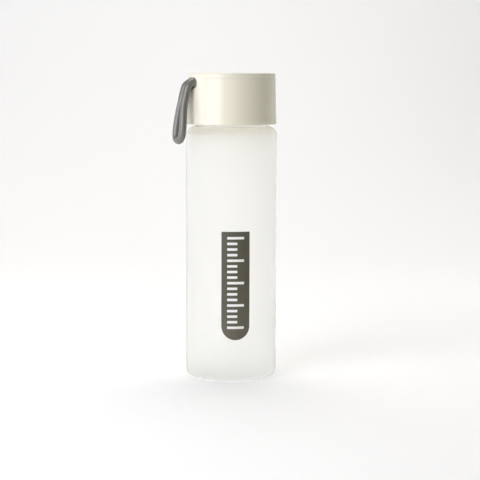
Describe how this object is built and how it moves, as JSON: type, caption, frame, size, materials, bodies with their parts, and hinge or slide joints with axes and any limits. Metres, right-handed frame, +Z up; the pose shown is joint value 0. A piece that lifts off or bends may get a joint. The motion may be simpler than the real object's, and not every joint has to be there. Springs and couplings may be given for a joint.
{
  "type": "glass water bottle",
  "caption": "Frosted glass water bottle with a threaded neck, a plain screw cap with liner and gasket, a printed badge and a swinging moulded carry loop.",
  "frame": {"origin": "centre of the bottle's base, on the plane the bottle stands on", "axes": "+Z up the bottle's axis; the carry loop hangs on the -X side of the cap; the badge faces down and left of -Y, 249.5 degrees from +X towards +Y"},
  "size_m": [0.0776, 0.0661, 0.219],
  "materials": {
    "frosted_glass": "frosted, milky white",
    "badge_ink": "matte printed film",
    "mark_ink": "matte printed film",
    "ivory_gloss": "glossy moulded",
    "liner_plastic": "satin moulded",
    "seal_silicone": "soft translucent silicone",
    "strap_silicone": "soft satin silicone"
  },
  "bodies": {
    "bottle": {"glass_bottle": "frosted_glass", "badge_print": "badge_ink", "badge_marks": "mark_ink"},
    "seal": {"seal_ring": "seal_silicone"},
    "cap": {"cap_shell": "ivory_gloss", "cap_liner": "liner_plastic", "strap_anchor": "strap_silicone"},
    "strap": {"carry_strap": "strap_silicone"}
  },
  "joints": [
    {"name": "cap_rise", "type": "slide", "parent": "bottle", "child": "seal", "axis": [0, 0, 1], "range_m": [0, 0.024]},
    {"name": "cap_turn", "type": "hinge", "parent": "seal", "child": "cap", "pos_m": [0, 0, 0.2], "axis": [0, 0, 1], "range_deg": [0, 1080]},
    {"name": "strap_swing", "type": "hinge", "parent": "cap", "child": "strap", "pos_m": [-0.0352, 0, 0.2094], "axis": [0, 1, 0], "range_deg": [0, 150]}
  ],
  "couplings": [
    {"joint": "cap_rise", "follows": "cap_turn", "m_per_rad": 0.0012732}
  ]
}
